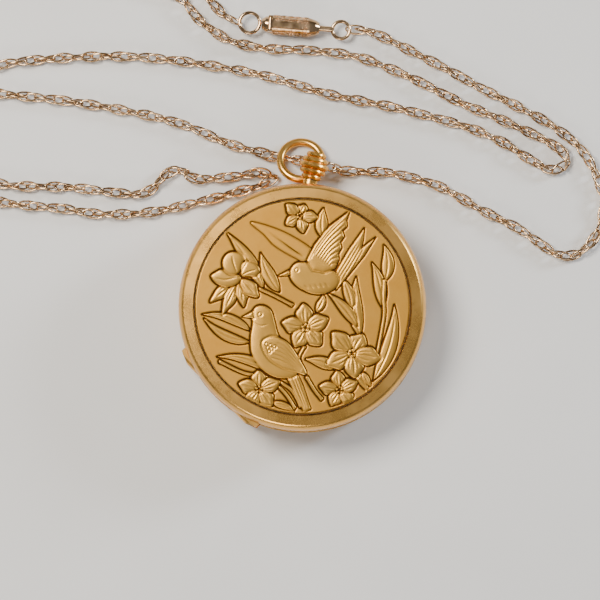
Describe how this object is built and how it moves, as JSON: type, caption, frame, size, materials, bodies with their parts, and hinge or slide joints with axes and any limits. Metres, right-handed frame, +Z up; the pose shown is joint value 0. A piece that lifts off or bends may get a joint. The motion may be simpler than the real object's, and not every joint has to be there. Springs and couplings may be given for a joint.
{
  "type": "pocket watch",
  "caption": "Small hunter pocket watch with an engraved lid that springs open over the dial, a hinged back, a ribbed crown, a ring bow and a thin link neck chain with a clasp.",
  "frame": {"origin": "middle of the flat face of the back cover, which the watch rests on", "axes": "+Z up through the lid, +Y from the middle of the case towards the pendant, +X to its right seen from the lid"},
  "size_m": [0.0939, 0.0642, 0.01],
  "materials": {
    "case_gold": "polished and satin gold plate",
    "steel": "polished steel",
    "glass": "clear domed glass",
    "gilt_brass": "frosted gilt",
    "ruby": "polished ruby",
    "blued_steel": "heat blued",
    "enamel": "fired enamel",
    "chain_gold": "bright gold plate"
  },
  "bodies": {
    "case": {"band": "case_gold", "pendant": "case_gold", "cuvette": "case_gold", "bezel": "case_gold", "lid_hinge_pin": "steel", "back_hinge_pin": "steel", "lid_spring": "steel", "glass": "glass", "movement_ring": "gilt_brass", "main_plate": "gilt_brass", "barrel_bridge": "gilt_brass", "train_bridge": "gilt_brass", "balance_cock": "gilt_brass", "pallet_cock": "gilt_brass", "click_spring": "steel", "jewels": "ruby", "bridge_screws": "blued_steel", "dial": "enamel", "chain_right": "chain_gold", "chain_left": "chain_gold", "chain_last": "chain_gold", "clasp_barrel": "chain_gold", "clasp_loop": "chain_gold", "clasp_tongue": "chain_gold"},
    "lid": {"lid": "case_gold"},
    "back_cover": {"back_cover": "case_gold"},
    "bow": {"bow": "case_gold", "chain_through_bow": "chain_gold"},
    "crown_stem": {"crown_stem": "steel"},
    "crown": {"crown": "case_gold"},
    "winding_stem": {"winding_stem": "steel"},
    "crown_wheel": {"crown_wheel": "steel"},
    "ratchet": {"ratchet_wheel": "steel", "barrel_arbor": "steel"},
    "lid_catch": {"lid_catch": "steel"},
    "click": {"click": "steel"},
    "minute": {"centre_wheel": "gilt_brass", "cannon_pinion": "steel", "minute_hand": "blued_steel"},
    "barrel": {"barrel": "gilt_brass", "barrel_lid": "gilt_brass", "mainspring": "steel"},
    "third_wheel": {"third_wheel": "gilt_brass"},
    "seconds": {"fourth_wheel": "gilt_brass", "seconds_hand": "blued_steel"},
    "escape_wheel": {"escape_wheel": "steel"},
    "pallet_fork": {"pallet_fork": "steel"},
    "balance": {"balance": "gilt_brass", "hairspring": "blued_steel"},
    "minute_wheel": {"minute_wheel": "gilt_brass"},
    "hour": {"hour_wheel": "gilt_brass", "hour_hand": "blued_steel"},
    "clasp_catch": {"clasp_catch": "chain_gold"}
  },
  "joints": [
    {"name": "lid_open", "type": "hinge", "parent": "case", "child": "lid", "pos_m": [-0.01098, -0.01178, 0.00728], "axis": [0.7314, -0.682, 0], "range_deg": [0, 95]},
    {"name": "back_open", "type": "hinge", "parent": "case", "child": "back_cover", "pos_m": [-0.01098, -0.01178, 0.00248], "axis": [-0.7314, 0.682, 0], "range_deg": [0, 95]},
    {"name": "bow_swing", "type": "hinge", "parent": "case", "child": "bow", "pos_m": [0.00035, 0.0182, 0.00251], "axis": [1, 0, 0], "range_deg": [-45, 3]},
    {"name": "crown_press", "type": "slide", "parent": "case", "child": "crown_stem", "axis": [-0.1908, -0.9816, 0], "range_m": [0, 0.00025], "stiffness_N_per_m": 10, "springref_m": -0.0001},
    {"name": "crown_turn", "type": "hinge", "parent": "crown_stem", "child": "crown", "pos_m": [0, 0.016, 0.00505], "axis": [0.1908, 0.9816, 0], "continuous": true},
    {"name": "lid_catch_slide", "type": "slide", "parent": "case", "child": "lid_catch", "axis": [0, -1, 0], "range_m": [0, 0.00025]},
    {"name": "winding_turn", "type": "hinge", "parent": "case", "child": "winding_stem", "pos_m": [0, 0.01, 0.00505], "axis": [0, 1, 0], "continuous": true},
    {"name": "crown_wheel_turn", "type": "hinge", "parent": "case", "child": "crown_wheel", "pos_m": [0, 0.00697, 0.0035], "axis": [0, 0, 1], "continuous": true},
    {"name": "ratchet_turn", "type": "hinge", "parent": "case", "child": "ratchet", "pos_m": [0.00533, 0.00373, 0.0035], "axis": [0, 0, 1], "continuous": true},
    {"name": "click_lift", "type": "hinge", "parent": "case", "child": "click", "pos_m": [0.00772, 0.00823, 0.003], "axis": [0, 0, 1], "range_deg": [-3, 6], "stiffness_Nm_per_rad": 0.00002},
    {"name": "minutes", "type": "hinge", "parent": "case", "child": "minute", "pos_m": [0, 0, 0.004], "axis": [0, 0, -1], "continuous": true},
    {"name": "barrel_turn", "type": "hinge", "parent": "case", "child": "barrel", "pos_m": [0.00533, 0.00373, 0.004], "axis": [0, 0, -1], "continuous": true},
    {"name": "third_turn", "type": "hinge", "parent": "case", "child": "third_wheel", "pos_m": [0.00214, -0.00354, 0.004], "axis": [0, 0, -1], "continuous": true},
    {"name": "seconds_turn", "type": "hinge", "parent": "case", "child": "seconds", "pos_m": [0, -0.0064, 0.004], "axis": [0, 0, -1], "continuous": true},
    {"name": "escape_turn", "type": "hinge", "parent": "case", "child": "escape_wheel", "pos_m": [-0.00295, -0.00747, 0.004], "axis": [0, 0, -1], "continuous": true},
    {"name": "minute_wheel_turn", "type": "hinge", "parent": "case", "child": "minute_wheel", "pos_m": [0.00132, 0.00229, 0.0056], "axis": [0, 0, -1], "continuous": true},
    {"name": "hours", "type": "hinge", "parent": "case", "child": "hour", "pos_m": [0, 0, 0.0057], "axis": [0, 0, -1], "continuous": true},
    {"name": "pallet_swing", "type": "hinge", "parent": "case", "child": "pallet_fork", "pos_m": [-0.00487, -0.0058, 0.004], "axis": [0, 0, 1], "range_deg": [-5, 5]},
    {"name": "balance_swing", "type": "hinge", "parent": "case", "child": "balance", "pos_m": [-0.00706, -0.0039, 0.0037], "axis": [0, 0, 1], "range_deg": [-270, 270], "stiffness_Nm_per_rad": 0.00000007},
    {"name": "clasp_catch_lift", "type": "hinge", "parent": "case", "child": "clasp_catch", "pos_m": [-0.0062, 0.0393, 0.0031], "axis": [-0.0349, -0.9994, 0], "range_deg": [0, 110]}
  ],
  "couplings": [
    {"joint": "lid_catch_slide", "follows": "crown_press", "ratio": 1},
    {"joint": "winding_turn", "follows": "crown_turn", "ratio": 1},
    {"joint": "crown_wheel_turn", "follows": "crown_turn", "ratio": 1},
    {"joint": "ratchet_turn", "follows": "crown_turn", "ratio": -0.625},
    {"joint": "barrel_turn", "follows": "minutes", "ratio": -0.16667},
    {"joint": "third_turn", "follows": "minutes", "ratio": -8},
    {"joint": "seconds_turn", "follows": "minutes", "ratio": 60},
    {"joint": "escape_turn", "follows": "minutes", "ratio": -600},
    {"joint": "minute_wheel_turn", "follows": "minutes", "ratio": -0.33333},
    {"joint": "hours", "follows": "minutes", "ratio": 0.083333}
  ]
}
